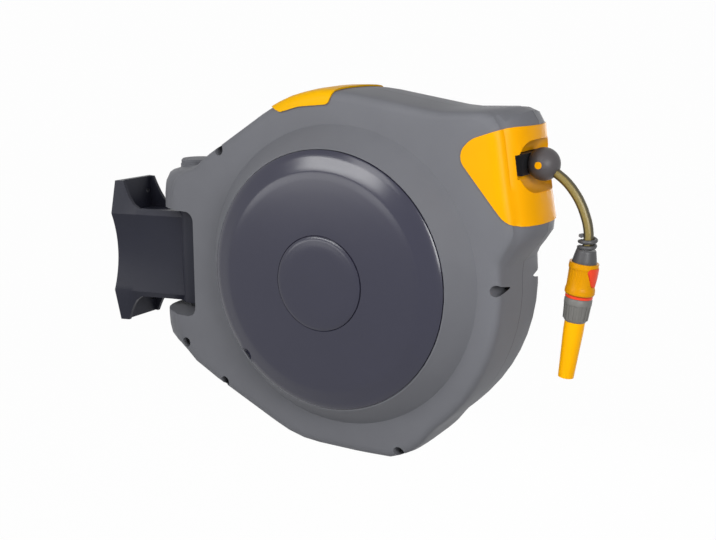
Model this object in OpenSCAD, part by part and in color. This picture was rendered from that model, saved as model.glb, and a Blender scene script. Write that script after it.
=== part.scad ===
/* [Wall bracket] */
// Distance from the wall to the swivel axis
pivot_x = 127; // [118:1:140]
// Half height of the wall plate
plate_half_h = 104; // [98:1:115]
// Half width of the wall plate at its creases
plate_half_w = 49; // [46:1:56]
// Half width of the wall plate at its waist
plate_waist = 38; // [34:1:42]
// How far the side walls lean in at the top and bottom of the plate
plate_lean = 11; // [8:0.5:14]
// Thickness of the wall plate
plate_t = 8; // [5:0.5:10]
// Half height of the bracket's side between its creases
crease_half_h = 57; // [50:1:60]
// Half height of the bracket's arm and barrel
arm_half_h = 66; // [62:1:68]
// Wall of the hollow bracket body
bracket_wall = 5; // [3:0.5:7]
// Radius of the barrel round the swivel pin
barrel_r = 30; // [24:1:34]
// Distance between the wall screws across the plate
wall_hole_w = 48; // [40:1:52]
// Distance between the wall screws up the plate
wall_hole_h = 164; // [150:1:176]
// Radius of a wall screw hole
wall_hole_r = 3.5; // [2.5:0.25:4.5]

/* [Swivel] */
// Radius of the swivel pin
pin_r = 8; // [6:0.5:10]
// Wall of the swivel bushes
bush_wall = 3; // [2:0.25:4]
// Thickness of the bush flange, which is the gap between bracket and lug
bush_flange_t = 7.7; // [5:0.1:9]
// Radius of the bush flange
bush_flange_r = 19; // [16:0.5:24]

/* [Casing] */
// Distance from the wall to the drum axis
drum_x = 395; // [380:1:410]
// Height of the drum axis above the middle of the bracket
drum_z = 9; // [4:1:14]
// Radius of the round part of the casing at the parting plane
body_r = 228; // [224:1:234]
// Half depth of the rim, before its rounded edge
rim_half = 60; // [56:1:66]
// Size of the rounded edge of the rim
rim_round = 12; // [8:1:14]
// Width of the flat rim round the cone
rim_width = 34; // [30:1:40]
// Radius at the top of the cone
cone_top_r = 167.5; // [164:0.5:172]
// Half depth of the casing at the top of the cone
cone_half = 100; // [94:1:106]
// Wall of the casing
casing_wall = 3; // [2.5:0.25:4]
// Depth of the mouth past the swivel axis
mouth_depth = 37; // [36:0.5:40]
// Radius of the corners of the mouth
mouth_round = 14; // [8:1:20]

/* [Front cover] */
// Radius of the front cover
cover_r = 165; // [160:0.5:170]
// Height of the cover dome over its seat
cover_dome = 17.5; // [15:0.5:22]
// Width of the sloping band round the cover
cover_band = 24; // [14:1:30]
// Radius of the centre disc
disc_r = 60; // [50:1:70]

/* [Outlet] */
// Height of the outlet over the drum axis
outlet_z = 152; // [148:1:156]
// Distance from the drum axis to the centre of the hose stop
stop_x = 247; // [243:1:250]
// Width of the outlet opening
outlet_w = 104; // [90:1:108]
// Height of the outlet opening
outlet_h = 28; // [24:1:32]
// Radius of the dish round the outlet
dish_r = 32; // [29:1:34]
// Radius of a guide roller
roller_r = 6.5; // [5:0.25:7]
// Radius of a roller pin
roller_pin_r = 2; // [1.5:0.25:2.5]

/* [Hose] */
// Outside diameter of the hose
hose_d = 12; // [11:0.25:12.5]
// Radius of the hose stop
stop_r = 20; // [17:0.5:22]
// Turns in the outer layer of hose on the drum
wind_turns = 8; // [5:1:8]
// Step between turns
wind_pitch = 12.8; // [12.6:0.1:13.5]
// Radius of the outer layer, at the middle of the hose
wind_r = 137.5; // [125:0.5:150]

/* [Drum] */
// Radius of the drum core
core_r = 92; // [88:1:100]
// Wall of the drum core
core_wall = 4; // [3:0.5:5]
// Room between the drum flanges and the foot of the cone
flange_room = 16; // [12:1:30]
// Half width between the drum flanges
drum_half = 58; // [57:0.5:60]
// Thickness of a drum flange
flange_t = 4; // [3:0.5:5]
// Radius of the hollow axle
axle_r = 14; // [12:0.5:16]
// Bore of the hollow axle
axle_bore_r = 9; // [7:0.5:10]
// Teeth of the ratchet
ratchet_teeth = 8; // [6:1:16]
// Radius over the ratchet teeth
ratchet_r = 70; // [60:1:74]
// Turns of the power spring
spring_turns = 9; // [6:1:12]

/* [Hose end] */
// Lean of the hanging connector from upright, in degrees
lean = 6.8; // [0:0.2:12]
// Radius of the release collar
collar_r = 18; // [17:0.25:20]
// Length of the release collar
collar_len = 39; // [34:1:44]
// Length of the nozzle base
nozzle_base_len = 30; // [26:1:34]
// Length of the nozzle tube that shows
nozzle_len = 72; // [60:1:80]

/* [Clearances] */
// Running clearance of a shaft in its hole
run_gap = 0.05; // [0.02:0.01:0.1]
// Gap between neighbouring pieces
gap = 0.3; // [0.2:0.05:0.5]
// Gap round the front cover
cover_gap = 0.9; // [0.6:0.1:1.5]

/* [Hidden] */
$fn = 64;
grey = "#77787c";
dark_grey = "#3c3d47";
cover_grey = "#53525f";
yellow = "#ffb900";
red = "#e2452f";
steel = "#b9bcc0";
black = "#26272a";
khaki = "#b0a468";

hose_r = hose_d / 2;
mouth_half_h = arm_half_h + bush_flange_t + gap;
cone_base_r = body_r - rim_width;
flange_r = cone_base_r - flange_room;
drum_from_pivot = drum_x - pivot_x;
cover_seat = cone_half - 3.5;
flange_out = drum_half + flange_t;
// Corners of the casing outline at the parting plane, each with its radius, seen from the front
part_corners = [[226, 32, 26], [257, 72, 22], [249, 120, 150], [236, 219, 20], [138, 216, 150],
    [-51, 247, 198], [-211, 146, 26], [-240, 127, 20], [-300, 120, 14], [-314, 100, 14],
    [-314, -92, 20], [-311, -124, 20], [-244, -157, 40], [-69, -236, 150], [30, -235, 60], [81, -233.5, 30],
    [114, -216, 24], [143, -178, 20], [138.4, -46.6, 1]];
// Corners of the casing outline where the rim turns into the front face
front_corners = [[212, 30, 26], [232, 70, 24], [222, 122, 150], [207, 215, 18], [135, 213, 150],
    [-51, 243, 198], [-206, 144, 26], [-231, 123, 16], [-252, 116, 10], [-260, 96, 10],
    [-261, -88, 14], [-258, -119, 18], [-229, -152, 30], [-66, -230, 150], [30, -232, 60], [80, -230.5, 30],
    [112, -213, 24], [140, -176, 20], [129.8, -46.2, 1]];
round_centre = [-3, -5];
front_r_step = 3;
// Directions in which the casing is measured, closer together at the nose and at the lugs
angles = [for (a = [-140:6:-92]) a, for (a = [-88:4:-48]) a, for (a = [-44:6:4]) a, for (a = [8:2.5:52]) a,
    for (a = [56:4:136]) a, for (a = [139:2.5:166]) a, for (a = [170:8:194]) a, for (a = [197:2.5:214]) a];
// Screws of the casing, as directions from the drum axis
screw_angles = [1.5, -68, -137.5, 140.5, -154];
screw_r = 2.2;
screw_seat = 24;
screw_well_r = 7;

function unit(v) = v / norm(v);
function mirror_y(p) = [p[0], -p[1], p[2]];
function cross2(a, b) = a[0] * b[1] - a[1] * b[0];
function xz(p) = [p[0], p[1]];
function corner_arc(a, b, c, r, steps) =
    let (u = unit(a - b), v = unit(c - b), half = acos(u * v) / 2, reach = r / tan(half),
        middle = b + unit(u + v) * r / sin(half), first = b + u * reach, last = b + v * reach)
    [for (i = [0:steps]) middle + r * unit(first + (last - first) * i / steps - middle)];
function rounded(corners) =
    [for (i = [0:len(corners) - 1])
        let (n = len(corners), a = corners[(i + n - 1) % n], b = corners[i], c = corners[(i + 1) % n])
        each corner_arc(xz(a), xz(b), xz(c), b[2], 6)];
function ray_hits(d, path) =
    [for (i = [0:len(path) - 1])
        let (p = path[i], e = path[(i + 1) % len(path)] - p, k = cross2(d, e))
        if (abs(k) > 1e-9)
            let (s = cross2(p, d) / k, t = cross2(p, e) / k)
            if (s >= 0 && s <= 1 && t > 0) t];
function circle_hit(d, c, r) = d * c + sqrt((d * c) * (d * c) - c * c + r * r);
function reach_out(a, path, r) =
    let (d = [cos(a), sin(a)]) max(concat([circle_hit(d, round_centre, r)], ray_hits(d, path)));
part_path = rounded(part_corners);
front_path = rounded(front_corners);
part_reach = [for (a = angles) reach_out(a, part_path, body_r)];
front_reach = [for (a = angles) reach_out(a, front_path, body_r - front_r_step)];

// Rows of the rim: depth, share of the parting outline, inset, and the way that an offset moves the row
function swell(depth) = sqrt(max(0, 1 - pow(depth / rim_half, 2)));
rim_rows = [for (share = [0, 0.3, 0.55, 0.75, 0.9, 0.97])
        [rim_half * share, swell(rim_half * share), 0, 0, 1],
    for (turn = [22.5, 45, 67.5, 90])
        [rim_half * 0.97 + (rim_round * 0.6 + rim_half * 0.03) * sin(turn),
            swell(rim_half * 0.97) * cos(turn), rim_round * (1 - cos(turn)), sin(turn), cos(turn)]];
face_depth = rim_half + rim_round * 0.6;
function rim_point(i, row, off) =
    let (r = front_reach[i] + (part_reach[i] - front_reach[i]) * row[1] - row[2] + off * row[4])
    [r * cos(angles[i]), -row[0] - off * row[3], r * sin(angles[i])];
function rim_ring(row, off) = [for (i = [0:len(angles) - 1]) rim_point(i, row, off)];
function round_ring(r, depth) = [for (a = angles) [r * cos(a), -depth, r * sin(a)]];
// Surface through rings of equal count, closed at each end by a fan round the ring's middle
function ring_faces(rows, n) =
    [for (k = [0:rows - 2], i = [0:n - 1])
        let (a = k * n + i, b = k * n + (i + 1) % n)
        each [[a, a + n, b], [b, a + n, b + n]]];
function fan(middle, start, n, flip) =
    [for (i = [0:n - 1])
        let (a = start + i, b = start + (i + 1) % n)
        flip ? [middle, b, a] : [middle, a, b]];
module skin(rings, first_middle, last_middle) {
    n = len(rings[0]);
    rows = len(rings);
    points = concat([for (ring = rings) each ring], [first_middle, last_middle]);
    polyhedron(points, concat(ring_faces(rows, n), fan(rows * n, 0, n, false),
        fan(rows * n + 1, (rows - 1) * n, n, true)));
}
// Wedge of the casing between two directions, out to its surface moved by an offset
module wedge(from, to, off, heart_r) {
    picks = [for (i = [0:len(angles) - 1]) if (angles[i] >= from && angles[i] <= to) i];
    depth = rim_point(0, rim_rows[len(rim_rows) - 1], off)[1];
    rings = [for (i = picks)
        let (a = angles[i], heart = [heart_r * cos(a), depth, heart_r * sin(a)])
        concat([heart],
            [for (k = [len(rim_rows) - 1:-1:0]) rim_point(i, rim_rows[k], off)],
            [for (k = [1:len(rim_rows) - 1]) mirror_y(rim_point(i, rim_rows[k], off))],
            [mirror_y(heart)])];
    first_a = angles[picks[0]];
    last_a = angles[picks[len(picks) - 1]];
    middle_r = heart_r + 20;
    skin(rings, [middle_r * cos(first_a), 0, middle_r * sin(first_a)],
        [middle_r * cos(last_a), 0, middle_r * sin(last_a)]);
}
// Skin that lies over the casing's surface between two directions
module slab(from, to, low, high) {
    difference() {
        wedge(from, to, high, 180);
        wedge(from - 8, to + 8, low, 170);
    }
}
module at_drum() {
    translate([drum_x, 0, drum_z]) children();
}
module at_pivot() {
    translate([pivot_x, 0, 0]) children();
}
// Cylinder along Y from one place to another
module along_y(y0, y1, r) {
    translate([0, y0, 0]) rotate([-90, 0, 0]) cylinder(r = r, h = y1 - y0);
}
// Solid turned round the Y axis from points of radius and Y
module turned(points) {
    rotate([-90, 0, 0]) rotate_extrude() polygon([for (p = points) [p[0], p[1]]]);
}
module ring_y(y0, y1, inner, outer) {
    turned([[inner, y0], [outer, y0], [outer, y1], [inner, y1]]);
}
module tube_z(z0, z1, inner, outer) {
    translate([0, 0, z0]) difference() {
        cylinder(r = outer, h = z1 - z0);
        translate([0, 0, -1]) cylinder(r = inner, h = z1 - z0 + 2);
    }
}
module block(low, high) {
    translate(low) cube(high - low);
}

// Outer form of one half of the casing, with its flat parting plane at Y = 0, and its round end
module half_form(end_rings) {
    last = end_rings[len(end_rings) - 1];
    skin(concat([for (row = rim_rows) rim_ring(row, 0)], [round_ring(cone_base_r, face_depth + 0.5)],
        [for (ring = end_rings) round_ring(ring[0], ring[1])]), [0, 0, 0], [0, -last[1], 0]);
}
// Room inside one half of the casing
module half_room(room_depth) {
    skin(concat([rim_ring([-1, 1, 0, 0, 1], -casing_wall)],
        [for (row = rim_rows) rim_ring(row, -casing_wall)],
        [round_ring(cone_base_r - casing_wall, face_depth - casing_wall),
            round_ring(cone_top_r - 2 * casing_wall, room_depth)]), [0, 1, 0], [0, -room_depth, 0]);
}
// Mouth for the bracket, cut right through the casing and grown by a wall
module mouth(grow) {
    inner = -drum_from_pivot + mouth_depth + grow;
    outer = -drum_from_pivot - 60;
    low = -drum_z - mouth_half_h - grow;
    high = -drum_z + mouth_half_h + grow;
    round = mouth_round + grow;
    block([outer, -rim_half * 1.5, low], [inner - round, rim_half * 1.5, high]);
    block([outer, -rim_half * 1.5, low + round], [inner, rim_half * 1.5, high - round]);
    for (z = [low + round, high - round])
        translate([inner - round, 0, z]) along_y(-rim_half * 1.5, rim_half * 1.5, round);
}
// Trough round the outlet, with round ends
module dish(grow) {
    half = outlet_w / 2 - dish_r + 4;
    translate([stop_x + 5, 0, outlet_z]) {
        along_y(-half, half, dish_r + grow);
        for (y = [-half, half]) translate([0, y, 0]) sphere(r = dish_r + grow);
    }
}
function screw_place(a) =
    let (r = reach_out(a, front_path, body_r - front_r_step) - 5) [r * cos(a), 0, r * sin(a)];
module at_screws() {
    for (a = screw_angles) translate(screw_place(a)) children();
}
// Web that ties a screw boss to the rim
module screw_web(a) {
    r = norm(screw_place(a));
    rotate([0, -a, 0]) block([r, -screw_seat - 4, -casing_wall / 2], [r + 80, 2, casing_wall / 2]);
}
boss_z = 124;
boss_r = 27;
pivot_boss_low = -128;
bush_r = pin_r + bush_wall;
axle_front = cover_seat - casing_wall - 2;
well_r = 50;
well_floor = 84;
axle_rear = well_floor - casing_wall - 2;
bearing_end = flange_out + 6.5;
bearing_r = axle_r + 8;
spigot_tail_r = axle_bore_r - gap;
// One half of the casing, with what is left standing inside it as children
module casing_half(end_rings, room_depth, axle_depth) {
    difference() {
        union() {
            half_form(end_rings);
            intersection() {
                translate([-drum_from_pivot, 0, 60]) cylinder(r = boss_r, h = boss_z - 60);
                block([-400, -60, 0], [0, 0, 200]);
            }
        }
        difference() {
            half_room(room_depth);
            mouth(casing_wall);
            translate([-drum_from_pivot, 0, -150]) cylinder(r = boss_r, h = 300);
            at_screws() along_y(-rim_half * 1.5, 2, screw_well_r + casing_wall);
            for (a = screw_angles) screw_web(a);
            along_y(-room_depth - 1, -bearing_end, bearing_r);
            children();
        }
        mouth(0);
        at_screws() along_y(-rim_half * 1.5, -screw_seat, screw_well_r);
        translate([-drum_from_pivot, 0, -200]) cylinder(r = bush_r + run_gap, h = 400);
        translate([-drum_from_pivot, 0, boss_z]) cylinder(r = boss_r - 1 + gap, h = 60);
        dish(3);
        block([stop_x - 60, -outlet_w / 2 - 5, outlet_z - outlet_h / 2 - 5],
            [stop_x + 20, outlet_w / 2 + 5, outlet_z + outlet_h / 2 + 5]);
        along_y(-axle_depth, 1, axle_r + run_gap);
    }
}
module front_casing() {
    seat_r = cover_r + cover_gap;
    color(grey) at_drum() difference() {
        casing_half([[cone_top_r, cone_half], [seat_r, cone_half], [seat_r, cover_seat]],
            cover_seat - casing_wall, axle_front);
        at_screws() along_y(-rim_half, 1, screw_r + gap);
    }
}
module rear_casing() {
    rear_depth = cone_half + 5;
    color(grey) at_drum() mirror([0, 1, 0]) difference() {
        casing_half([[cone_top_r, cone_half], [cone_top_r - 3, cone_half + 3], [cone_top_r - 8, rear_depth]],
            rear_depth - casing_wall, axle_rear)
            along_y(-rear_depth, -well_floor + casing_wall, well_r + casing_wall);
        along_y(-cone_half * 1.5, -well_floor, well_r);
        along_y(-cone_half, 0, spigot_tail_r + gap);
        at_screws() along_y(-18, 1, screw_r + run_gap);
    }
}
// Bracket, one hollow arm that flares from the barrel to the wall, with a screw pocket above and below
module wall_bracket() {
    steps = 8;
    arm_end = pivot_x - 10;
    arm_w = barrel_r - 4;
    arm_waist = barrel_r - 8;
    arm_lean = 4;
    edge_h = arm_half_h - 1;
    // The upper edge runs level, sweeps down to the arm and follows it to the barrel
    edge_level = 13;
    edge_sweep = 30;
    pocket_floor = crease_half_h + 1;
    pocket_end = pivot_x - barrel_r - 14;
    room_h = crease_half_h - bracket_wall;
    room_end = pivot_x - barrel_r - bracket_wall;
    function flare(x, thin, wide) = thin + (wide - thin) * pow(max(0, arm_end - x) / arm_end, 1.2);
    function crease_w(x) = flare(x, arm_w, plate_half_w);
    function waist_w(x) = flare(x, arm_waist, plate_waist);
    function rise(x) = pow(max(0, 1 - max(0, x - edge_level) / edge_sweep), 2);
    function edge_z(x) = edge_h + (plate_half_h - edge_h) * rise(x);
    function edge_w(x) = crease_w(x) - arm_lean - (plate_lean - arm_lean) * rise(x);
    function side_w(x, z) = waist_w(x) + (crease_w(x) - waist_w(x)) * pow(z / crease_half_h, 2);
    function side(x, half_h, inset, way) =
        [for (i = [-steps:steps]) let (z = way * half_h * i / steps) [x, way * (side_w(x, z) - inset), z]];
    function section(x) = concat([[x, edge_w(x), -edge_z(x)]], side(x, crease_half_h, 0, 1),
        [[x, edge_w(x), edge_z(x)], [x, -edge_w(x), edge_z(x)]], side(x, crease_half_h, 0, -1),
        [[x, -edge_w(x), -edge_z(x)]]);
    function room(x) = concat(side(x, room_h, bracket_wall, 1), side(x, room_h, bracket_wall, -1));
    function pocket(x) = let (w = edge_w(x) - bracket_wall, high = plate_half_h + 10)
        [[x, w, pocket_floor], [x, w, high], [x, -w, high], [x, -w, pocket_floor]];
    arm_stations = [0, edge_level, 18, 24, 31, 40, 60, 85, arm_end];
    room_stations = [-1, 20, 40, 60, room_end];
    pocket_stations = [plate_t, edge_level + 2, 20, 27, 35, 50, pocket_end];
    color(dark_grey) difference() {
        union() {
            skin([for (x = arm_stations) section(x)], [0, 0, 0], [arm_end, 0, 0]);
            at_pivot() translate([0, 0, -arm_half_h]) cylinder(r = barrel_r, h = 2 * arm_half_h);
        }
        skin([for (x = room_stations) room(x)], [-1, 0, 0], [room_end, 0, 0]);
        for (end = [0, 1]) mirror([0, 0, end]) skin([for (x = pocket_stations) pocket(x)],
            [plate_t, 0, plate_half_h - 10], [pocket_end, 0, plate_half_h - 10]);
        at_pivot() translate([0, 0, -arm_half_h - 1]) cylinder(r = pin_r + run_gap, h = 2 * arm_half_h + 2);
        for (y = [-1, 1], z = [-1, 1]) translate([-1, y * wall_hole_w / 2, z * wall_hole_h / 2])
            rotate([0, 90, 0]) cylinder(r = wall_hole_r, h = plate_t + 2);
    }
}
pin_low = drum_z + pivot_boss_low + 14;
pin_high = drum_z + boss_z + 2;
module pivot_pin() {
    color(steel) at_pivot() {
        translate([0, 0, pin_low]) cylinder(r = pin_r, h = pin_high - pin_low);
        translate([0, 0, pin_high - 0.01]) cylinder(r = pin_r + 3, h = 2.5);
    }
}
module pivot_bushes() {
    low_end = drum_z + pivot_boss_low + 18;
    color(black) at_pivot() {
        tube_z(arm_half_h + gap, arm_half_h + bush_flange_t, pin_r + run_gap, bush_flange_r);
        tube_z(arm_half_h + bush_flange_t - 0.01, drum_z + boss_z - 1, pin_r + run_gap, bush_r);
        tube_z(-arm_half_h - bush_flange_t, -arm_half_h - gap, pin_r + run_gap, bush_flange_r);
        tube_z(low_end, -arm_half_h - bush_flange_t + 0.01, pin_r + run_gap, bush_r);
    }
}
module pivot_cap() {
    low = drum_z + boss_z;
    color(grey) at_pivot() difference() {
        translate([0, 0, low]) rotate_extrude()
            polygon([[0, 0], [boss_r - 1, 0], [boss_r - 1, 5], [boss_r - 3, 7], [0, 7]]);
        translate([0, 0, low - 1]) cylinder(r = pin_r + 4, h = 6);
    }
}
module casing_screws() {
    head_r = 4.5;
    color(steel) at_drum() at_screws() {
        along_y(-screw_seat - 3.5, -screw_seat, head_r);
        along_y(-screw_seat - 0.01, 15, screw_r);
    }
}
module front_cover() {
    w = 3;
    slope_r = cover_r - cover_band;
    low = -cover_seat;
    edge = low - 5;
    band = low - 14;
    swell = cover_dome - 14;
    notch_a = 223;
    dome = low - cover_dome;
    ring = disc_r + 1;
    color(cover_grey) at_drum() difference() {
        turned([[0, low - 9], [ring, low - 9], [slope_r - 4, low - 8], [cover_r - w, low], [cover_r, low],
            [cover_r, edge], [cover_r - 1.5, edge - 1.4], [slope_r, band],
            [slope_r - 3, band - 0.6], [slope_r * 0.85, band - 0.6 - swell * 0.25],
            [slope_r * 0.65, band - swell * 0.7], [ring + 8, dome + 0.4], [ring, dome + 0.3],
            [ring - 1, dome + 1.5], [0, dome + 1.5]]);
        translate([cover_r * cos(notch_a), low - 11, cover_r * sin(notch_a)]) sphere(r = 10, $fn = 32);
    }
}
module cover_disc() {
    base = -cover_seat - cover_dome + 1.5;
    color(cover_grey) at_drum() turned([[0, base], [disc_r - 0.4, base], [disc_r - 0.4, base - 2],
        [disc_r - 2, base - 3], [disc_r - 14, base - 4], [0, base - 4.6]]);
}
grip_corners = [[-104, 214, 4], [-84, 206, 8], [-56, 214, 60], [-13, 218, 7], [-3, 242, 2],
    [-3, 300, 1], [-150, 300, 1], [-150, 250, 1]];
module handle_grip() {
    color(yellow) at_drum() intersection() {
        slab(86, 130, gap, 2.5);
        translate([0, 150, 0]) rotate([90, 0, 0]) linear_extrude(300) polygon(rounded(grip_corners));
    }
}
panel_corners = [[163, 164, 18], [230, 84, 36], [300, 82, 1], [300, 196, 1], [226, 199, 60], [182, 184, 30]];
module outlet_panel() {
    color(yellow) at_drum() difference() {
        union() {
            difference() {
                intersection() {
                    slab(8, 56, gap, 2);
                    translate([0, 150, 0]) rotate([90, 0, 0]) linear_extrude(300)
                        polygon(rounded(panel_corners));
                }
                dish(1);
            }
            intersection() {
                difference() {
                    dish(2.5);
                    dish(0);
                }
                wedge(8, 56, 1.2, 170);
            }
        }
        block([stop_x - 60, -outlet_w / 2, outlet_z - outlet_h / 2],
            [stop_x + 30, outlet_w / 2, outlet_z + outlet_h / 2]);
    }
}
tunnel_half_h = hose_r + 0.7 + 2 * roller_r + 0.6;
tunnel_half_w = outlet_w / 2;
tunnel_wall = 3;
tunnel_front = stop_x + 5 - dish_r - 7;
tunnel_back = tunnel_front - 54;
upright_x = tunnel_front - 10;
level_x = tunnel_front - 32;
roller_off = hose_r + 0.7 + roller_r;
// Eye at the front of the guide, on which the hose stop comes to rest
eye_half_w = stop_r + 6;
eye_half_h = outlet_h / 2 - 1;
eye_wall = 3;
eye_play = 1.5;
module guide_frame() {
    ear_half = face_depth - casing_wall - gap;
    color(black) at_drum() translate([0, 0, outlet_z]) difference() {
        union() {
            block([tunnel_back, -tunnel_half_w - tunnel_wall, -tunnel_half_h - tunnel_wall],
                [tunnel_front, tunnel_half_w + tunnel_wall, tunnel_half_h + tunnel_wall]);
            block([tunnel_back, -ear_half, -15], [tunnel_back + 6, ear_half, 15]);
            block([tunnel_front - 1, -eye_half_w, -eye_half_h],
                [stop_x - stop_r + 3, eye_half_w, eye_half_h]);
        }
        block([tunnel_back - 1, -tunnel_half_w, -tunnel_half_h],
            [tunnel_front - eye_wall, tunnel_half_w, tunnel_half_h]);
        translate([tunnel_back, 0, 0]) rotate([0, 90, 0]) cylinder(r = hose_r + eye_play, h = 200);
        translate([stop_x, 0, 0]) sphere(r = stop_r + run_gap);
        for (side = [-1, 1]) {
            translate([upright_x, side * roller_off, -50]) cylinder(r = roller_pin_r + run_gap, h = 100);
            translate([level_x, 0, side * roller_off])
                along_y(-tunnel_half_w - 10, tunnel_half_w + 10, roller_pin_r + run_gap);
        }
    }
}
module roller_pins() {
    color(steel) at_drum() translate([0, 0, outlet_z]) for (side = [-1, 1]) {
        translate([upright_x, side * roller_off, -tunnel_half_h - tunnel_wall])
            cylinder(r = roller_pin_r, h = 2 * (tunnel_half_h + tunnel_wall));
        translate([level_x, 0, side * roller_off])
            along_y(-tunnel_half_w - tunnel_wall, tunnel_half_w + tunnel_wall, roller_pin_r);
    }
}
// Guide roller along Z, slightly hollowed at its waist
module roller(half_len) {
    bore = roller_pin_r + run_gap;
    waist = roller_r - 0.4;
    rotate_extrude() polygon([[bore, -half_len], [roller_r - 1, -half_len], [roller_r, -half_len + 1],
        [waist, -half_len / 2], [waist, half_len / 2], [roller_r, half_len - 1], [roller_r - 1, half_len],
        [bore, half_len]]);
}
module upright_roller(side) {
    color(dark_grey) at_drum() translate([upright_x, side * roller_off, outlet_z])
        roller(tunnel_half_h - gap);
}
module level_roller(side) {
    color(dark_grey) at_drum() translate([level_x, 0, outlet_z + side * roller_off])
        rotate([90, 0, 0]) roller(tunnel_half_w - gap);
}
module roller_front() {
    upright_roller(-1);
}
module roller_rear() {
    upright_roller(1);
}
module roller_top() {
    level_roller(1);
}
module roller_bottom() {
    level_roller(-1);
}
module drum_axle() {
    color(steel) at_drum() difference() {
        along_y(-axle_front + gap, axle_rear - gap, axle_r);
        along_y(-drum_half / 2, axle_rear + 1, axle_bore_r);
        translate([0, swivel_y, 0]) rotate([0, 90, 0]) translate([0, 0, -30]) cylinder(r = 5, h = 60);
    }
}
module inlet_spigot() {
    thread_r = 13.2;
    bore = axle_bore_r - 2.5;
    far = cone_half + 4;
    color(black) at_drum() turned([[bore, axle_rear - 14], [spigot_tail_r, axle_rear - 14],
        [spigot_tail_r, well_floor], [19, well_floor], [19, well_floor + 4], [thread_r - 1.5, well_floor + 5],
        [thread_r, well_floor + 6.5], [thread_r, far - 1.5], [thread_r - 1.5, far], [bore, far]]);
}
arbor_r = axle_r + 5;
lid_y = 10;
lid_t = 3;
spring_low = lid_y + lid_t + 3;
hub_end = 44;
spring_high = hub_end - 1;
hub_r = axle_r + 11;
module spring_arbor() {
    color(steel) at_drum() ring_y(spring_low, hub_end - 2, axle_r + run_gap, arbor_r);
}
pawl_a = 60;
pawl_reach = 92;
pawl_pin_r = 3;
pawl_y = -flange_out - 7;
module at_pawl() {
    at_drum() translate([pawl_reach * cos(pawl_a), 0, pawl_reach * sin(pawl_a)]) children();
}
module pawl_pin() {
    color(steel) at_pawl() along_y(-cover_seat + casing_wall, -flange_out - 0.5, pawl_pin_r);
}
module pawl() {
    tip_reach = ratchet_r + gap + 2.5;
    tip_a = pawl_a - 24;
    tip = [tip_reach * cos(tip_a), -tip_reach * sin(tip_a)];
    root = [pawl_reach * cos(pawl_a), -pawl_reach * sin(pawl_a)];
    color(steel) at_drum() translate([0, pawl_y, 0]) rotate([-90, 0, 0]) difference() {
        linear_extrude(6) hull() {
            translate(root) circle(r = 8, $fn = 32);
            translate(tip) circle(r = 2.5, $fn = 32);
        }
        translate([root[0], root[1], -1]) cylinder(r = pawl_pin_r + run_gap, h = 8);
    }
}
// Tube along a list of points, each with the direction of its first corner
function tube_ring(p, along, side, r, sides) =
    let (b = unit(cross(along, side)), a = cross(b, along))
    [for (k = [0:sides - 1]) p + r * (cos(360 * k / sides) * a + sin(360 * k / sides) * b)];
function heading(path, i) = unit(path[min(i + 1, len(path) - 1)] - path[max(i - 1, 0)]);
module tube(path, side_ways, r, sides) {
    n = len(path);
    skin([for (i = [0:n - 1]) tube_ring(path[i], heading(path, i), side_ways[i], r, sides)],
        path[0], path[n - 1]);
}
module pawl_spring() {
    wire = 0.6;
    turn_r = pawl_pin_r + 1.6;
    turns = 4;
    steps = 8;
    low = pawl_y - 9;
    path = [for (i = [0:turns * steps])
        let (a = 360 * i / steps) [turn_r * cos(a), low + 7 * i / (turns * steps), turn_r * sin(a)]];
    ways = [for (i = [0:turns * steps]) [cos(360 * i / steps), 0, sin(360 * i / steps)]];
    color(steel) at_pawl() tube(path, ways, wire, 6);
}
rib_count = 12;
window_count = 6;
// One half of the drum, seen as the front half
module drum_half(rib_from) {
    difference() {
        union() {
            ring_y(-flange_out, -drum_half, axle_r + 3, flange_r);
            ring_y(-drum_half - 0.01, 0, core_r - core_wall, core_r);
            ring_y(-bearing_end + 2, -hub_end, axle_r + 3, hub_r);
            ring_y(-flange_out - 5, -flange_out + 0.01, flange_r - 4, flange_r);
            for (k = [0:rib_count - 1]) rotate([0, 360 / rib_count * k, 0])
                block([rib_from, -flange_out - 5, -1.5], [flange_r - 3, -flange_out + 0.5, 1.5]);
        }
        for (k = [0:window_count - 1]) rotate([0, 360 / window_count * (k + 0.25), 0])
            translate([(core_r + flange_r) / 2, 0, 0]) along_y(-flange_out - 10, -drum_half + 1, 20);
    }
}
module drum_front() {
    color(black) at_drum() drum_half(ratchet_r + 40);
}
module drum_rear() {
    color(black) at_drum() {
        mirror([0, 1, 0]) drum_half(hub_r - 1);
        ring_y(lid_y + lid_t, lid_y + lid_t + 4, core_r - core_wall - 4, core_r - core_wall + 0.5);
    }
}
module drum_bushes() {
    color(steel) at_drum() for (side = [0, 1]) mirror([0, side, 0])
        turned([[axle_r + run_gap, -bearing_end + gap], [axle_r + 6, -bearing_end + gap],
            [axle_r + 6, -bearing_end + 2], [axle_r + 3, -bearing_end + 2], [axle_r + 3, -hub_end],
            [axle_r + run_gap, -hub_end]]);
}
ratchet_t = 6;
module ratchet_ring() {
    root_r = ratchet_r - 9;
    inner_r = hub_r + 1;
    tooth = 360 / ratchet_teeth;
    outline = [for (k = [0:ratchet_teeth - 1], s = [0:4])
        let (a = tooth * (k + s / 4.6), r = root_r + (ratchet_r - root_r) * s / 4) [r * cos(a), r * sin(a)]];
    color(steel) at_drum() translate([0, -flange_out - ratchet_t, 0]) rotate([-90, 0, 0]) difference() {
        linear_extrude(ratchet_t) polygon(outline);
        translate([0, 0, -1]) cylinder(r = inner_r, h = ratchet_t + 2);
        for (k = [0:3]) rotate(90 * k) translate([(inner_r + root_r) / 2, 0, -1])
            cylinder(r = screw_r + run_gap, h = ratchet_t + 2);
    }
}
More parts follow.
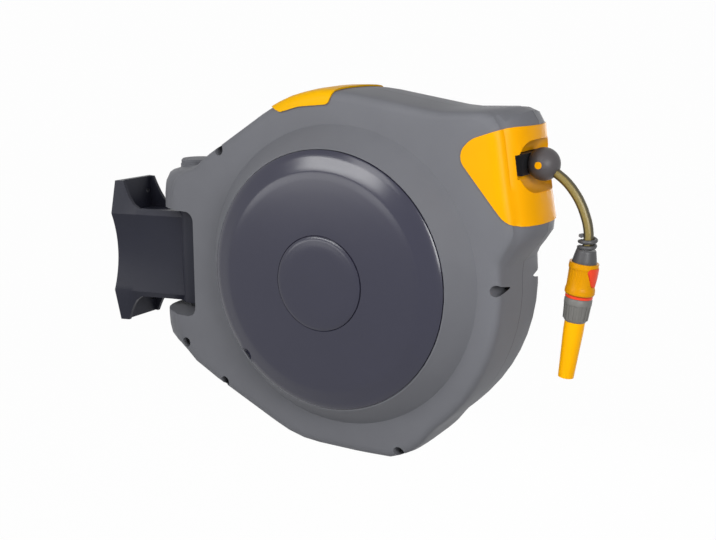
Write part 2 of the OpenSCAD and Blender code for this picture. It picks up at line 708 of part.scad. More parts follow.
module ratchet_screws() {
    place = (hub_r + 1 + ratchet_r - 9) / 2;
    color(steel) at_drum() for (k = [0:3]) rotate([0, 90 * k, 0]) translate([place, 0, 0]) {
        along_y(-flange_out - ratchet_t - 3, -flange_out - ratchet_t, 4.5);
        along_y(-flange_out - ratchet_t - 0.01, -flange_out, screw_r);
    }
}
module spring_lid() {
    color(black) at_drum() ring_y(lid_y, lid_y + lid_t, arbor_r + 2, core_r - core_wall - gap);
}
module power_spring() {
    inner = arbor_r + gap + 0.2;
    outer = core_r - core_wall - 7;
    strip = 1.2;
    steps = 24;
    count = spring_turns * steps;
    function place(i, off) =
        let (a = 360 * i / steps, r = inner + (outer - inner) * pow(i / count, 0.8) + off)
        [r * cos(a), r * sin(a)];
    color(steel) at_drum() translate([0, spring_low + 2, 0]) rotate([-90, 0, 0])
        linear_extrude(spring_high - spring_low - 4)
            polygon(concat([for (i = [0:count]) place(i, 0)], [for (i = [count:-1:0]) place(i, strip)]));
}
swivel_y = -15;
module water_swivel() {
    spout = core_r - core_wall - 1;
    groove = axle_r + 3.4;
    color("#b08d4c") at_drum() {
        difference() {
            union() {
                along_y(swivel_y - 14, swivel_y + 14, axle_r + 8);
                translate([0, swivel_y, 0]) cylinder(r = 8, h = spout);
            }
            along_y(swivel_y - 20, swivel_y + 20, axle_r + run_gap);
            translate([0, swivel_y, 0]) cylinder(r = 5, h = spout + 1);
            for (y = [-9, 9]) ring_y(swivel_y + y - 2, swivel_y + y + 2, axle_r - 1, groove);
        }
    }
}
module swivel_seals() {
    color(black) at_drum() for (y = [-9, 9]) translate([0, swivel_y + y, 0]) rotate([-90, 0, 0])
        rotate_extrude() translate([axle_r + 1.7, 0]) circle(r = 1.6);
}
wind_steps = 24;
module hose_inner_layers() {
    color(khaki) at_drum() ring_y(-drum_half + gap, drum_half - gap, core_r + gap,
        wind_r * cos(180 / wind_steps) - hose_r - gap);
}
// Outer layer of hose, one tube that winds across the drum, with straight ends
module hose_winding() {
    steps = wind_steps;
    count = wind_turns * steps;
    span = wind_turns * wind_pitch;
    function wind(a, y) = [wind_r * cos(a), y, wind_r * sin(a)];
    turns = [for (i = [0:count]) wind(360 * i / steps, span * (i / count - 0.5))];
    first = turns[0] - [0, 0, hose_d];
    last = turns[count] + [0, 0, hose_d];
    path = concat([first], turns, [last]);
    around = [for (i = [0:count]) [cos(360 * i / steps), 0, sin(360 * i / steps)]];
    ways = concat([[1, 0, 0]], around, [[1, 0, 0]]);
    echo(least_gap_of_winding = min([for (i = [0:len(path) - 1], j = [i + steps / 2:len(path) - 1])
        if (j < len(path) && j > i + steps / 2) norm(path[i] - path[j])]) - hose_d);
    color(khaki) at_drum() tube(path, ways, hose_r, 6);
}
lead_start = 112;
module hose_lead() {
    color(khaki) at_drum() translate([lead_start, 0, outlet_z]) rotate([0, 90, 0])
        cylinder(r = hose_r, h = stop_x - 8 - lead_start);
}
stop_centre = [stop_x, 0, outlet_z];
exit_drop = 33;
stop_screw_r = 4.3;
module hose_stop_half(side) {
    color(dark_grey) at_drum() translate(stop_centre) difference() {
        intersection() {
            sphere(r = stop_r);
            translate([0, side * 50, 0]) cube(100, center = true);
        }
        rotate([0, -90, 0]) cylinder(r = hose_r + gap, h = 50);
        rotate([0, 90 + exit_drop, 0]) cylinder(r = hose_r + gap, h = 50);
        sphere(r = hose_r + gap + 0.3);
        if (side < 0) along_y(-stop_r - 1, -stop_r + 9, stop_screw_r + run_gap);
    }
}
module hose_stop_front() {
    hose_stop_half(-1);
}
module hose_stop_rear() {
    hose_stop_half(1);
}
module hose_stop_screw() {
    color(yellow) at_drum() translate(stop_centre) along_y(-stop_r - 0.3, -stop_r + 8.5, stop_screw_r);
}
// Route of the free hose from the hose stop to the connector, from the drum axis
hose_route = [[255, 0, 146.8], [265, 0, 140.5], [275.5, 0, 132.5], [285.5, 0, 121.5], [294, 0, 108.5],
    [300, 0, 95], [304, 0, 82], [305.5, 0, 70], [304.5, 0, 58]];
module free_hose() {
    color(khaki) at_drum() tube(hose_route, [for (p = hose_route) [0, 1, 0]], hose_r, 10);
}
nut_top = [305.5, 0, 70];
module at_end() {
    at_drum() translate(nut_top) rotate([0, lean, 0]) children();
}
nut_len = 38;
nut_low_r = 14.5;
guard_low = -16;
module hose_nut() {
    turns = 2.2;
    pitch = 7;
    steps = 14;
    coil_r = 9.4;
    count = ceil(turns * steps);
    path = [for (i = [0:count])
        let (a = 150 + 360 * i / steps, rise = pitch * i / steps)
        [coil_r * cos(a), coil_r * sin(a), guard_low + 0.5 + rise]];
    ways = [for (p = path) [p[0] / coil_r, p[1] / coil_r, 0]];
    color(dark_grey) at_end() {
        difference() {
            rotate_extrude() polygon([[0, -nut_len], [nut_low_r, -nut_len], [nut_low_r, -nut_len + 8],
                [13.6, -25], [11.8, guard_low - 1], [11, guard_low], [0, guard_low]]);
            translate([0, 0, -30]) cylinder(r = hose_r + gap + 0.3, h = 40);
            translate([0, 0, -nut_len - 1]) cylinder(r = core_neck_r + gap, h = 20);
        }
        tube(path, ways, 2.5, 8);
    }
}
core_neck_r = 8;
collar_top = -nut_len + 6;
collar_low = collar_top - collar_len;
module connector_core() {
    skirt_r = collar_r - 1.5;
    color(red) at_end() rotate_extrude() polygon([[5, -21], [core_neck_r, -21], [core_neck_r, -nut_len - 1],
        [11, -nut_len - 1], [11, collar_low - 1], [skirt_r, collar_low - 1], [skirt_r, collar_low - 4],
        [9.5, collar_low - 4], [9.5, collar_low - 20], [5, collar_low - 20]]);
}
module release_collar() {
    bore = nut_low_r + gap;
    color(yellow) at_end() difference() {
        rotate_extrude() polygon([[11 + gap, collar_low], [collar_r - 1, collar_low],
            [collar_r, collar_low + 1.5],
            [collar_r, collar_low + 6], [collar_r - 1, collar_low + 10], [collar_r - 1, collar_top - 9],
            [collar_r, collar_top - 6], [collar_r - 0.5, collar_top], [bore, collar_top],
            [bore, collar_top - 12],
            [11 + gap, collar_top - 14]]);
        patch_shape(gap);
        for (side = [-1, 1], a = [82:14:124]) rotate(side * a)
            translate([collar_r - 0.5, 0, collar_top - 22]) cylinder(r = 0.9, h = 15, $fn = 12);
    }
}
// Rounded red patch let into the side of the collar
module patch_shape(grow) {
    difference() {
        rotate(-18) translate([8, 0, collar_low + collar_len * 0.62]) rotate([0, 90, 0])
            linear_extrude(20) hull() {
                translate([-7, -6.5]) circle(r = 3.5 + grow, $fn = 24);
                translate([-7, 6.5]) circle(r = 3.5 + grow, $fn = 24);
                translate([8, 0]) circle(r = 4 + grow, $fn = 24);
            }
        translate([0, 0, collar_low]) cylinder(r = 15.6 - grow, h = collar_len);
    }
}
module lock_patch() {
    color(red) at_end() intersection() {
        patch_shape(0);
        translate([0, 0, collar_low]) cylinder(r = collar_r + 0.4, h = collar_len);
    }
}
base_top = collar_low - 4 - gap;
base_low = base_top - nozzle_base_len;
module nozzle_base() {
    ribs = 16;
    rib_w = 2.4;
    color(dark_grey) at_end() difference() {
        union() {
            rotate_extrude() polygon([[0, base_top], [15.5, base_top], [16.7, base_top - 2],
                [16.7, base_top - 8],
                [15.5, base_top - 9], [14, base_low + 2], [12.5, base_low], [0, base_low]]);
            for (k = [0:ribs - 1]) rotate(360 / ribs * k) rotate([90, 0, 0]) translate([0, 0, -rib_w / 2])
                linear_extrude(rib_w) polygon([[11, base_top - 6], [16.4, base_top - 6],
                    [15.2, base_low + 3], [11, base_low + 3]]);
        }
        translate([0, 0, collar_low - 21]) cylinder(r = 9.5 + gap, h = 30);
        translate([0, 0, base_low - 1]) cylinder(r = 10 + run_gap, h = nozzle_base_len);
    }
}
module nozzle_tube() {
    inside = 11;
    tip = base_low - nozzle_len;
    color(yellow) at_end() rotate_extrude() polygon([[7, base_low + inside], [10, base_low + inside],
        [10, base_low - gap], [12.3, base_low - gap], [12.3, base_low - 12], [9.6, tip], [4, tip],
        [4, tip + 20], [7, tip + 30]]);
}

wall_bracket();
pivot_pin();
pivot_bushes();
pivot_cap();
front_casing();
rear_casing();
casing_screws();
front_cover();
cover_disc();
handle_grip();
outlet_panel();
guide_frame();
roller_pins();
roller_front();
roller_rear();
roller_top();
roller_bottom();
drum_axle();
inlet_spigot();
spring_arbor();
pawl_pin();
pawl();
pawl_spring();
drum_front();
drum_rear();
drum_bushes();
ratchet_ring();
ratchet_screws();
spring_lid();
power_spring();
water_swivel();
swivel_seals();
hose_inner_layers();
hose_winding();
hose_lead();
hose_stop_front();
hose_stop_rear();
hose_stop_screw();
free_hose();
hose_nut();
connector_core();
release_collar();
lock_patch();
nozzle_base();
nozzle_tube();
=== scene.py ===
from math import cos, pi, radians, sin

import bmesh
import bpy
from mathutils import Matrix, Vector


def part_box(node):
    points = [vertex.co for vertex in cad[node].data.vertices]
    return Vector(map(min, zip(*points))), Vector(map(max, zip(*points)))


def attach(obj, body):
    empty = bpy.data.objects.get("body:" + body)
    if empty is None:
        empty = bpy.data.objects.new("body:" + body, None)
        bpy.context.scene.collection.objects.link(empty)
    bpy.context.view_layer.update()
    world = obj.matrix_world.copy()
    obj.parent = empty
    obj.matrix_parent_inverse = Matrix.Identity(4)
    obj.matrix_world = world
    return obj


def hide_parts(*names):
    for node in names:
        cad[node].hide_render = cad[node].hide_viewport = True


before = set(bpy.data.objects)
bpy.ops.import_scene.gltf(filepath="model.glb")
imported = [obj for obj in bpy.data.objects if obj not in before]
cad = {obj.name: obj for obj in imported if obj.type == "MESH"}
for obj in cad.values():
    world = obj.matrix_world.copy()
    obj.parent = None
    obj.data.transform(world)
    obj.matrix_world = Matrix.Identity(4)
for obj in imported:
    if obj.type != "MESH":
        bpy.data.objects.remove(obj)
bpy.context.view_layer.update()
scene = bpy.context.scene


# Camera, a little above the reel, in front of the cover and to the outlet's side, so that the cover, the
# nose and the wall bracket all show.
camera_place = (1.1018, -1.2430, 0.3111)
camera_azimuth = radians(29.92)
camera_elevation = radians(12.06)
camera = bpy.data.objects.new("camera", bpy.data.cameras.new("camera"))
camera.data.sensor_width = 36
camera.data.lens = 55.31
camera.location = camera_place
camera.rotation_euler = (pi / 2 - camera_elevation, 0, camera_azimuth)
scene.collection.objects.link(camera)
scene.camera = camera
scene.view_settings.view_transform = "Standard"


# Soft studio light: a lamp over the front, a narrow strip on the left that the cover's rim mirrors, a low
# sheet under it, a lamp near the nose, a fill from behind and a pale world, all plain white.
def softbox(name, place, aim, width, height, watts):
    lamp = bpy.data.lights.new(name, "AREA")
    lamp.shape = "RECTANGLE"
    lamp.size = width
    lamp.size_y = height
    lamp.energy = watts
    holder = bpy.data.objects.new(name, lamp)
    holder.location = place
    holder.rotation_euler = (Vector(aim) - Vector(place)).to_track_quat("-Z", "Y").to_euler()
    scene.collection.objects.link(holder)


softbox("top_lamp", (0.36, -0.75, 0.72), (0.34, -0.06, 0.19), 0.4, 0.4, 2.2)
softbox("strip_left", (-0.55, -2.12, 1.15), (0.39, -0.1, 0.17), 1.5, 0.42, 21)
softbox("low_left", (-0.85, -2.1, 0.22), (0.39, -0.1, 0.1), 1.5, 0.5, 8)
softbox("nose_lamp", (1.3, -0.75, 0.35), (0.6, 0, 0.1), 0.5, 0.5, 9)
softbox("fill_back", (0.1, 2.3, 0), (0.4, 0, 0), 1.6, 1.0, 14)
room_strength = 0.22
room_shown = 0.985


def plain_to_sight(nodes, links):
    """A factor that is one for camera, mirror and see-through rays, which meet plain white."""
    path = nodes.new("ShaderNodeLightPath")
    seen = path.outputs["Is Camera Ray"]
    for ray in ("Is Glossy Ray", "Is Transmission Ray"):
        either = nodes.new("ShaderNodeMath")
        either.operation = "ADD"
        either.use_clamp = True
        links.new(seen, either.inputs[0])
        links.new(path.outputs[ray], either.inputs[1])
        seen = either.outputs[0]
    return seen


world = bpy.data.worlds.new("pale_room")
scene.world = world
world.use_nodes = True
room = world.node_tree.nodes
room_links = world.node_tree.links
room.clear()
room_light = room.new("ShaderNodeBackground")
room_light.inputs["Strength"].default_value = room_strength
room_white = room.new("ShaderNodeBackground")
room_white.inputs["Strength"].default_value = room_shown
for glow in (room_light, room_white):
    glow.inputs["Color"].default_value = (1, 1, 1, 1)
room_seen = room.new("ShaderNodeMixShader")
room_end = room.new("ShaderNodeOutputWorld")
room_links.new(plain_to_sight(room, room_links), room_seen.inputs["Fac"])
room_links.new(room_light.outputs[0], room_seen.inputs[1])
room_links.new(room_white.outputs[0], room_seen.inputs[2])
room_links.new(room_seen.outputs[0], room_end.inputs["Surface"])


# Floor, a pale matt sheet about a metre under the bracket, as below a reel on a garden wall. Most of it
# shows as plain white, and the rest keeps the reel's soft shadow.
floor_height = -1.0
floor_reach = 9
floor_middle = 0.4
floor_tone = 0.9
floor_shown = 0.98
floor_bm = bmesh.new()
bmesh.ops.create_grid(floor_bm, x_segments=1, y_segments=1, size=floor_reach,
    matrix=Matrix.Translation((floor_middle, 0, floor_height)))
floor_mesh = bpy.data.meshes.new("floor")
floor_bm.to_mesh(floor_mesh)
floor_bm.free()
floor = bpy.data.objects.new("floor", floor_mesh)
scene.collection.objects.link(floor)
floor_paint = bpy.data.materials.new("pale_floor")
floor_paint.use_nodes = True
floor_nodes = floor_paint.node_tree.nodes
floor_links = floor_paint.node_tree.links
floor_nodes.clear()
floor_matt = floor_nodes.new("ShaderNodeBsdfDiffuse")
floor_matt.inputs["Color"].default_value = (floor_tone, floor_tone, floor_tone, 1)
floor_white = floor_nodes.new("ShaderNodeEmission")
floor_white.inputs["Strength"].default_value = 1
floor_share = floor_nodes.new("ShaderNodeMath")
floor_share.operation = "MULTIPLY"
floor_share.inputs[1].default_value = floor_shown
floor_seen = floor_nodes.new("ShaderNodeMixShader")
floor_end = floor_nodes.new("ShaderNodeOutputMaterial")
floor_links.new(plain_to_sight(floor_nodes, floor_links), floor_share.inputs[0])
floor_links.new(floor_share.outputs[0], floor_seen.inputs["Fac"])
floor_links.new(floor_matt.outputs[0], floor_seen.inputs[1])
floor_links.new(floor_white.outputs[0], floor_seen.inputs[2])
floor_links.new(floor_seen.outputs[0], floor_end.inputs["Surface"])
floor_mesh.materials.append(floor_paint)


# Free hose from the hose stop to the connector, clear soft tube over a knitted reinforcement, with pale
# and dark stripes along it. It hangs from the stop under the weight of the connector.
hose_radius = 0.006
stripe_count = 3
stripe_pale = (0.215, 0.16, 0.038, 1)
stripe_dark = (0.06, 0.05, 0.024, 1)
knit_around = 12
knit_height = 0.0003
drum_place = Vector((0.395, 0, 0.009))
hose_route = [drum_place + Vector(p) / 1000 for p in (
    (255, 0, 146.8), (265, 0, 140.5), (275.5, 0, 132.5), (285.5, 0, 121.5), (294, 0, 108.5), (300, 0, 95),
    (304, 0, 82), (305.5, 0, 70), (304.5, 0, 58))]


def swept_tube(name, route, radius, rounding):
    """A tube along one smooth line through the route, as a mesh with its UVs, and the line's points."""
    line = bpy.data.curves.new(name + "_line", "CURVE")
    line.dimensions = "3D"
    line.resolution_u = 4
    spline = line.splines.new("BEZIER")
    spline.bezier_points.add(len(route) - 1)
    for knot, place in zip(spline.bezier_points, route):
        knot.co = place
        knot.handle_left_type = knot.handle_right_type = "AUTO"
    holder = bpy.data.objects.new(name + "_line", line)
    scene.collection.objects.link(holder)
    centre = [v.co.copy() for v in holder.to_mesh().vertices]
    holder.to_mesh_clear()
    line.bevel_depth = radius
    line.bevel_resolution = rounding
    line.use_fill_caps = True
    bpy.context.view_layer.update()
    shown = holder.evaluated_get(bpy.context.evaluated_depsgraph_get())
    tube_mesh = bpy.data.meshes.new_from_object(shown)
    tube_mesh.name = name
    bpy.data.objects.remove(holder)
    tube = bpy.data.objects.new(name, tube_mesh)
    scene.collection.objects.link(tube)
    for face in tube_mesh.polygons:
        face.use_smooth = True
    return tube, centre


def striped_hose(name, knit_per_length):
    """Soft hose wall: stripes along the tube from its UVs, with the diamond of the knitting under it."""
    material = bpy.data.materials.new(name)
    material.use_nodes = True
    n = material.node_tree.nodes
    link = material.node_tree.links.new
    shader = n["Principled BSDF"]
    shader.inputs["Roughness"].default_value = 0.38
    shader.inputs["Specular IOR Level"].default_value = 0.45
    around = n.new("ShaderNodeTexCoord")
    parts = n.new("ShaderNodeSeparateXYZ")
    link(around.outputs["UV"], parts.inputs[0])
    stripe_turn = n.new("ShaderNodeMath")
    stripe_turn.operation = "MULTIPLY"
    stripe_turn.inputs[1].default_value = stripe_count
    link(parts.outputs["Y"], stripe_turn.inputs[0])
    stripe_part = n.new("ShaderNodeMath")
    stripe_part.operation = "FRACT"
    link(stripe_turn.outputs[0], stripe_part.inputs[0])
    stripe = n.new("ShaderNodeValToRGB")
    stripe.color_ramp.elements[0].position = 0.0
    stripe.color_ramp.elements[0].color = stripe_pale
    stripe.color_ramp.elements[1].position = 0.55
    stripe.color_ramp.elements[1].color = stripe_dark
    for place, colour in ((0.45, stripe_pale), (0.9, stripe_dark), (1.0, stripe_pale)):
        stripe.color_ramp.elements.new(place).color = colour
    link(stripe_part.outputs[0], stripe.inputs[0])
    knit_place = n.new("ShaderNodeMapping")
    knit_place.inputs["Scale"].default_value = (knit_per_length, knit_around, 1)
    link(around.outputs["UV"], knit_place.inputs[0])
    knit = n.new("ShaderNodeTexChecker")
    knit.inputs["Scale"].default_value = 1
    link(knit_place.outputs[0], knit.inputs[0])
    knitted = n.new("ShaderNodeMixRGB")
    knitted.blend_type = "MULTIPLY"
    knitted.inputs[0].default_value = 0.12
    link(stripe.outputs[0], knitted.inputs[1])
    link(knit.outputs[0], knitted.inputs[2])
    link(knitted.outputs[0], shader.inputs["Base Color"])
    rise = n.new("ShaderNodeBump")
    rise.inputs["Strength"].default_value = 0.15
    rise.inputs["Distance"].default_value = knit_height
    link(knit.outputs[1], rise.inputs["Height"])
    link(rise.outputs[0], shader.inputs["Normal"])
    return material


free_hose, hose_line = swept_tube("free_hose_tube", hose_route, hose_radius, 6)
free_hose.data.materials.append(striped_hose("free_hose_wall", 36))
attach(free_hose, "casing")
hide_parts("free_hose")


# Wall bracket, one dark moulding with a hollow waisted arm, screwed to the wall through its plate, with the
# steel swivel pin in its barrel.
def srgb(code):
    """Linear colour of a six-digit sample."""
    parts = [int(code[i:i + 2], 16) / 255 for i in (0, 2, 4)]
    return tuple(p / 12.92 if p <= 0.04045 else ((p + 0.055) / 1.055) ** 2.4 for p in parts) + (1,)


weld_reach = 0.00002
crease_angle = radians(31)
rounded_shading = bpy.data.node_groups.new("rounded_shading", "GeometryNodeTree")
rounded_shading.interface.new_socket("Geometry", in_out="INPUT", socket_type="NodeSocketGeometry")
rounded_shading.interface.new_socket("Geometry", in_out="OUTPUT", socket_type="NodeSocketGeometry")
shade = rounded_shading.nodes
shade_link = rounded_shading.links.new
shade_in = shade.new("NodeGroupInput")
shade_weld = shade.new("GeometryNodeMergeByDistance")
shade_weld.inputs["Distance"].default_value = weld_reach
shade_faces = shade.new("GeometryNodeSetShadeSmooth")
shade_faces.domain = "FACE"
shade_edges = shade.new("GeometryNodeSetShadeSmooth")
shade_edges.domain = "EDGE"
shade_edges.inputs["Shade Smooth"].default_value = False
shade_angle = shade.new("GeometryNodeInputMeshEdgeAngle")
shade_sharp = shade.new("FunctionNodeCompare")
shade_sharp.operation = "GREATER_THAN"
shade_sharp.inputs[1].default_value = crease_angle
shade_plain = shade.new("GeometryNodeRemoveAttribute")
shade_plain.inputs["Name"].default_value = "custom_normal"
shade_out = shade.new("NodeGroupOutput")
shade_link(shade_in.outputs[0], shade_plain.inputs["Geometry"])
shade_link(shade_plain.outputs["Geometry"], shade_weld.inputs["Geometry"])
shade_link(shade_weld.outputs["Geometry"], shade_faces.inputs["Geometry"])
shade_link(shade_faces.outputs["Geometry"], shade_edges.inputs["Geometry"])
shade_link(shade_angle.outputs["Unsigned Angle"], shade_sharp.inputs[0])
shade_link(shade_sharp.outputs["Result"], shade_edges.inputs["Selection"])
shade_link(shade_edges.outputs["Geometry"], shade_out.inputs[0])


def dress(material, *names):
    """Gives CAD nodes their material and smooth shading between shallow facets."""
    for name in names:
        cad[name].data.materials.clear()
        cad[name].data.materials.append(material)
        cad[name].modifiers.new("rounded_shading", "NODES").node_group = rounded_shading


def moulded_plastic(name, colour, roughness, grain, grain_depth, patch=0.06, shine=0.3):
    """Moulded plastic: a faint cloudy change of tone, an eroded tool grain and slightly uneven gloss."""
    material = bpy.data.materials.new(name)
    material.use_nodes = True
    n = material.node_tree.nodes
    link = material.node_tree.links.new
    shader = n["Principled BSDF"]
    shader.inputs["Specular IOR Level"].default_value = shine
    place = n.new("ShaderNodeTexCoord")
    cloud = n.new("ShaderNodeTexNoise")
    cloud.inputs["Scale"].default_value = 14
    cloud.inputs["Detail"].default_value = 4
    link(place.outputs["Object"], cloud.inputs["Vector"])
    tone = n.new("ShaderNodeValToRGB")
    tone.color_ramp.elements[0].position = 0.3
    tone.color_ramp.elements[1].position = 0.7
    tone.color_ramp.elements[0].color = tuple(c * (1 - patch) for c in colour[:3]) + (1,)
    tone.color_ramp.elements[1].color = tuple(min(1, c * (1 + patch)) for c in colour[:3]) + (1,)
    link(cloud.outputs["Fac"], tone.inputs[0])
    link(tone.outputs[0], shader.inputs["Base Color"])
    pits = n.new("ShaderNodeTexNoise")
    pits.inputs["Scale"].default_value = 1 / grain
    pits.inputs["Detail"].default_value = 2
    link(place.outputs["Object"], pits.inputs["Vector"])
    relief = n.new("ShaderNodeBump")
    relief.inputs["Strength"].default_value = grain_depth
    relief.inputs["Distance"].default_value = grain * 0.3
    link(pits.outputs["Fac"], relief.inputs["Height"])
    link(relief.outputs[0], shader.inputs["Normal"])
    gloss = n.new("ShaderNodeMapRange")
    gloss.inputs["To Min"].default_value = roughness - 0.04
    gloss.inputs["To Max"].default_value = roughness + 0.05
    link(pits.outputs["Fac"], gloss.inputs["Value"])
    link(gloss.outputs[0], shader.inputs["Roughness"])
    return material


dress(moulded_plastic("bracket_plastic", srgb("262731"), 0.4, 0.0011, 0.3, 0.06, 0.16), "wall_bracket")


def turned_steel(name, colour, roughness, lines):
    """Bright steel with fine turning or drawing lines and a slightly uneven polish."""
    material = bpy.data.materials.new(name)
    material.use_nodes = True
    n = material.node_tree.nodes
    link = material.node_tree.links.new
    shader = n["Principled BSDF"]
    shader.inputs["Metallic"].default_value = 1
    place = n.new("ShaderNodeTexCoord")
    stretch = n.new("ShaderNodeMapping")
    stretch.inputs["Scale"].default_value = lines
    link(place.outputs["Object"], stretch.inputs[0])
    scratch = n.new("ShaderNodeTexNoise")
    scratch.inputs["Scale"].default_value = 1
    scratch.inputs["Detail"].default_value = 3
    link(stretch.outputs[0], scratch.inputs["Vector"])
    tone = n.new("ShaderNodeValToRGB")
    tone.color_ramp.elements[0].color = tuple(c * 0.82 for c in colour[:3]) + (1,)
    tone.color_ramp.elements[1].color = colour
    link(scratch.outputs["Fac"], tone.inputs[0])
    link(tone.outputs[0], shader.inputs["Base Color"])
    polish = n.new("ShaderNodeMapRange")
    polish.inputs["To Min"].default_value = roughness - 0.07
    polish.inputs["To Max"].default_value = roughness + 0.1
    link(scratch.outputs["Fac"], polish.inputs["Value"])
    link(polish.outputs[0], shader.inputs["Roughness"])
    return material


pin_steel = turned_steel("pin_steel", srgb("B9BCC0"), 0.3, (90, 90, 2600))
dress(pin_steel, "pivot_pin")


# Swivel bushes, black bearing plastic, turned and pressed into the casing's lugs above and below the
# barrel. They carry the weight of the reel.
bearing_black = moulded_plastic("bearing_black", srgb("26272A"), 0.42, 0.0007, 0.15)
dress(bearing_black, "pivot_bushes")


# Casing, two large grey mouldings that meet at the middle plane and clasp the bracket's barrel between
# their lugs. Satin plastic with a fine eroded grain and a dark line where the halves meet; the cap over the
# pin is pressed into the upper lug.
casing_grey = moulded_plastic("casing_grey", srgb("696A6F"), 0.5, 0.0009, 0.22, 0.04, 0.1)
seam_half = 0.0004
seam = casing_grey.node_tree
seam_shader = seam.nodes["Principled BSDF"]
seam_place = seam.nodes.new("ShaderNodeTexCoord")
seam_axes = seam.nodes.new("ShaderNodeSeparateXYZ")
seam_away = seam.nodes.new("ShaderNodeMath")
seam_away.operation = "ABSOLUTE"
seam_fade = seam.nodes.new("ShaderNodeMapRange")
seam_fade.inputs["From Min"].default_value = seam_half
seam_fade.inputs["From Max"].default_value = seam_half * 1.8
seam_fade.inputs["To Min"].default_value = 0.3
seam_fade.inputs["To Max"].default_value = 1
seam_tone = seam.nodes.new("ShaderNodeMixRGB")
seam_tone.blend_type = "MULTIPLY"
seam_tone.inputs[0].default_value = 1
seam.links.new(seam_place.outputs["Object"], seam_axes.inputs[0])
seam.links.new(seam_axes.outputs["Y"], seam_away.inputs[0])
seam.links.new(seam_away.outputs[0], seam_fade.inputs["Value"])
seam.links.new(seam_shader.inputs["Base Color"].links[0].from_socket, seam_tone.inputs[1])
seam.links.new(seam_fade.outputs[0], seam_tone.inputs[2])
seam.links.new(seam_tone.outputs[0], seam_shader.inputs["Base Color"])
dress(casing_grey, "front_casing", "rear_casing")
dress(moulded_plastic("cap_grey", srgb("66676C"), 0.5, 0.0009, 0.22, 0.04, 0.1), "pivot_cap")


# Casing screws, dark plated steel with pan heads, turned into the rear moulding's bosses from the bottom
# of round wells in the front moulding.
screw_steel = turned_steel("screw_steel", srgb("2E2F33"), 0.42, (700, 700, 700))
dress(screw_steel, "casing_screws")


# Axle, spring arbor and inlet. The hollow steel axle stands in both casing halves and carries the water to
# the drum; the black inlet spigot at its rear end takes the feed hose's connector.
axle_steel = turned_steel("axle_steel", srgb("AEB2B6"), 0.34, (60, 2400, 60))
dress(axle_steel, "drum_axle", "spring_arbor")
dress(bearing_black, "inlet_spigot")


# Drum, two black mouldings with ribbed flanges that turn on brass-coloured bushes, with the ratchet, the
# coiled power spring and its lid, and the water swivel with its seals.
drum_black = moulded_plastic("drum_black", srgb("2B2C2F"), 0.5, 0.001, 0.2)
dress(drum_black, "drum_front", "drum_rear", "spring_lid")
swivel_brass = turned_steel("swivel_brass", srgb("C39A4E"), 0.28, (900, 900, 60))
dress(swivel_brass, "drum_bushes", "water_swivel")
spring_steel = turned_steel("spring_steel", srgb("7E8894"), 0.3, (40, 3000, 40))
dress(spring_steel, "power_spring", "pawl_spring")
ratchet_steel = turned_steel("ratchet_steel", srgb("9A9DA2"), 0.4, (500, 40, 500))
dress(ratchet_steel, "ratchet_ring", "ratchet_screws", "pawl_pin", "pawl")
seal_rubber = moulded_plastic("seal_rubber", srgb("17171A"), 0.6, 0.0006, 0.1)
dress(seal_rubber, "swivel_seals")


# Hose on the drum. The inner layers lie as one body under the outer layer, which winds across the drum in
# touching turns of the same striped hose.
wind_radius = 0.1375
wind_turns = 8
wind_pitch = 0.0128
wind_steps = 24
wind_slack = 0.0002
wind_total = wind_turns * wind_steps
wind_route = []
for step in range(wind_total + 1):
    turned = 2 * pi * step / wind_steps
    along = wind_turns * wind_pitch * (step / wind_total - 0.5)
    wind_route.append(drum_place + Vector((wind_radius * cos(turned), along, wind_radius * sin(turned))))
wound_hose = swept_tube("wound_hose", wind_route, hose_radius - wind_slack, 3)[0]
wound_hose.data.materials.append(striped_hose("wound_hose_wall", 2300))
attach(wound_hose, "drum")
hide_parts("hose_winding")
layers_low, layers_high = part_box("hose_inner_layers")
layer_out = (layers_high.x - layers_low.x) / 2
layer_half = (layers_high.y - layers_low.y) / 2
layer_in = 0.0923
ridge_pitch = hose_radius * 2.05
ridge_height = 0.002
ridge_count = int(2 * layer_half / ridge_pitch)
valley = layer_out - ridge_height
outline = [Vector((layer_in, 0, -layer_half)), Vector((valley, 0, -layer_half))]
for ridge in range(ridge_count):
    for part in (0.25, 0.5, 0.75, 1.0):
        across = -layer_half + 2 * layer_half * (ridge + part) / ridge_count
        outline.append(Vector((valley + ridge_height * sin(pi * part), 0, across)))
outline.append(Vector((layer_in, 0, layer_half)))
layer_bm = bmesh.new()
rim = [layer_bm.verts.new(p) for p in outline]
edges = [layer_bm.edges.new((a, b)) for a, b in zip(rim, rim[1:] + rim[:1])]
bmesh.ops.spin(layer_bm, geom=rim + edges, cent=(0, 0, 0), axis=(0, 0, 1), angle=2 * pi, steps=72,
    use_merge=True)
bmesh.ops.remove_doubles(layer_bm, verts=layer_bm.verts, dist=0.00001)
bmesh.ops.recalc_face_normals(layer_bm, faces=layer_bm.faces)
bmesh.ops.transform(layer_bm, matrix=Matrix.Translation(drum_place) @ Matrix.Rotation(pi / 2, 4, "X"),
    verts=layer_bm.verts)
layer_mesh = bpy.data.meshes.new("hose_layers")
layer_bm.to_mesh(layer_mesh)
layer_bm.free()
for face in layer_mesh.polygons:
    face.use_smooth = True
hose_layers = bpy.data.objects.new("hose_layers", layer_mesh)
scene.collection.objects.link(hose_layers)
hose_layers.data.materials.append(moulded_plastic("layered_hose", (0.34, 0.28, 0.09, 1), 0.4, 0.0015, 0.1))
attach(hose_layers, "drum")
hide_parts("hose_inner_layers")


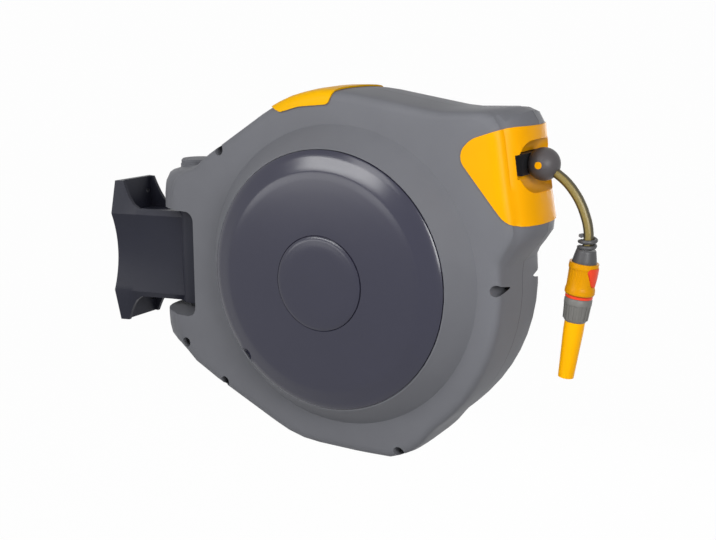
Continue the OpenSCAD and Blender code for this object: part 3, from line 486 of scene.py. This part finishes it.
# Guide at the outlet, a black frame with two upright and two level rollers on steel pins, which leads the
# hose out through the eye that the hose stop rests on.
guide_black = moulded_plastic("guide_black", srgb("1E1F22"), 0.48, 0.0008, 0.2)
dress(guide_black, "guide_frame")
roller_grey = moulded_plastic("roller_grey", srgb("45464C"), 0.34, 0.0006, 0.08)
dress(roller_grey, "roller_front", "roller_rear", "roller_top", "roller_bottom")
dress(pin_steel, "roller_pins")
lead_route = [drum_place + Vector((x, 0, 152)) / 1000 for x in (112, 126, 145, 170, 200, 225, 239)]
lead_hose = swept_tube("lead_hose", lead_route, hose_radius, 6)[0]
lead_hose.data.materials.append(striped_hose("lead_hose_wall", 42))
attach(lead_hose, "casing")
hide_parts("hose_lead")


# Outlet panel, a glossy yellow skin clipped over the nose. It is dished round the opening, so that the
# hose stop can rest deep in it.
outlet_yellow = moulded_plastic("outlet_yellow", srgb("E9A000"), 0.34, 0.0012, 0.06, 0.03, 0.08)
dress(outlet_yellow, "outlet_panel")


# Handle grip, a softer yellow moulding with a fine grain, let in over the top of the casing where the reel
# is carried.
grip_yellow = moulded_plastic("grip_yellow", srgb("E4A900"), 0.42, 0.0009, 0.15, 0.03, 0.08)
dress(grip_yellow, "handle_grip")


# Front cover and its centre disc, dark blue-grey gloss mouldings that clip into the ring of the front
# casing. The disc is bare.
cover_gloss = moulded_plastic("cover_gloss", srgb("2A2A3A"), 0.2, 0.0016, 0.015, 0.03, 0.45)
dress(cover_gloss, "front_cover", "cover_disc")


# Hose stop, a ball of two dark moulded halves, clamped on the hose by one yellow-headed screw. It keeps the
# hose end from being drawn into the casing.
stop_dark = moulded_plastic("stop_dark", srgb("4A4749"), 0.45, 0.0009, 0.18)
dress(stop_dark, "hose_stop_front", "hose_stop_rear")
dress(outlet_yellow, "hose_stop_screw")


# Connector, clamped on the hose end by a grey nut with a sprung bend guard. A red core runs through the
# sliding yellow release collar, which carries a red locking patch.
dress(moulded_plastic("nut_grey", srgb("474749"), 0.42, 0.0008, 0.15), "hose_nut")
lock_red = moulded_plastic("lock_red", srgb("E0401F"), 0.3, 0.0010, 0.05, 0.04)
dress(lock_red, "connector_core", "lock_patch")
collar_yellow = moulded_plastic("collar_yellow", srgb("CE8C00"), 0.32, 0.0010, 0.06, 0.03, 0.12)
dress(collar_yellow, "release_collar")


# Nozzle, a ribbed grey base snapped into the connector, and a tapered yellow tube that twists in it to
# narrow or widen the jet.
dress(moulded_plastic("base_grey", srgb("6C6B68"), 0.42, 0.0008, 0.15), "nozzle_base")
dress(moulded_plastic("tube_yellow", srgb("F6AE00"), 0.32, 0.0010, 0.06, 0.03, 0.12), "nozzle_tube")
